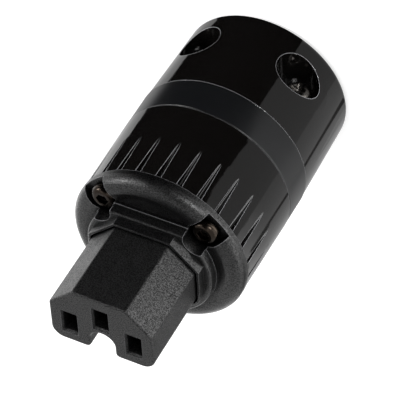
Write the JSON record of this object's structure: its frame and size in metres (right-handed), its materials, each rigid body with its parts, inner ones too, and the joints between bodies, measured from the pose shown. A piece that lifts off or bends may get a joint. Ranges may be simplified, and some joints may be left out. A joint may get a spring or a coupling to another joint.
{
  "type": "rewirable appliance power connector",
  "caption": "Round-bodied rewirable appliance connector with a chamfered three-slot nose, keyway, fluted barrel, banded waist and a screw-drawn cord clamp.",
  "frame": {"origin": "middle of the flat rear end, where the cord goes in and on which the connector stands", "axes": "+Z along the barrel towards the nose, -Y towards the earth slot and the clamp screws, X along the line and neutral slots"},
  "size_m": [0.0378, 0.0378, 0.074],
  "materials": {
    "shell_gloss": "polished moulded black",
    "band_satin": "satin black",
    "cover_texture": "fine spark-eroded black",
    "nose_texture": "fine spark-eroded black",
    "carrier_plastic": "moulded black",
    "jaw_nylon": "moulded glass-filled black",
    "dark_screw": "black nickel plated",
    "clamp_steel": "plated steel",
    "insert_brass": "turned",
    "contact_plate": "plated spring strip",
    "terminal_brass": "machined"
  },
  "bodies": {
    "housing": {"housing_shell": "shell_gloss", "centre_band": "band_satin", "front_cover": "cover_texture", "nose_body": "nose_texture", "carrier_back": "carrier_plastic", "fixed_jaw": "jaw_nylon", "cover_screw_left": "dark_screw", "cover_screw_right": "dark_screw", "threaded_insert_left": "insert_brass", "threaded_insert_right": "insert_brass", "line_contact": "contact_plate", "line_terminal": "terminal_brass", "line_terminal_screw": "clamp_steel", "line_clamp_plate": "clamp_steel", "neutral_contact": "contact_plate", "neutral_terminal": "terminal_brass", "neutral_terminal_screw": "clamp_steel", "neutral_clamp_plate": "clamp_steel", "earth_contact": "contact_plate", "earth_terminal": "terminal_brass", "earth_terminal_screw": "clamp_steel", "earth_clamp_plate": "clamp_steel"},
    "clamp_jaw": {"moving_jaw": "jaw_nylon", "clamp_nut_left": "clamp_steel", "clamp_nut_right": "clamp_steel"},
    "left_clamp_screw": {"clamp_screw_left": "clamp_steel"},
    "right_clamp_screw": {"clamp_screw_right": "clamp_steel"}
  },
  "joints": [
    {"name": "jaw_slide", "type": "slide", "parent": "housing", "child": "clamp_jaw", "axis": [0, -1, 0], "range_m": [0, 0.008]},
    {"name": "left_clamp_screw_turn", "type": "hinge", "parent": "housing", "child": "left_clamp_screw", "pos_m": [-0.011, 0, 0.0085], "axis": [0, 1, 0], "range_deg": [0, 3640]},
    {"name": "right_clamp_screw_turn", "type": "hinge", "parent": "housing", "child": "right_clamp_screw", "pos_m": [0.011, 0, 0.0085], "axis": [0, 1, 0], "range_deg": [0, 3640]}
  ],
  "couplings": [
    {"joint": "left_clamp_screw_turn", "follows": "jaw_slide", "rad_per_m": 7913.3},
    {"joint": "right_clamp_screw_turn", "follows": "jaw_slide", "rad_per_m": 7913.3}
  ]
}
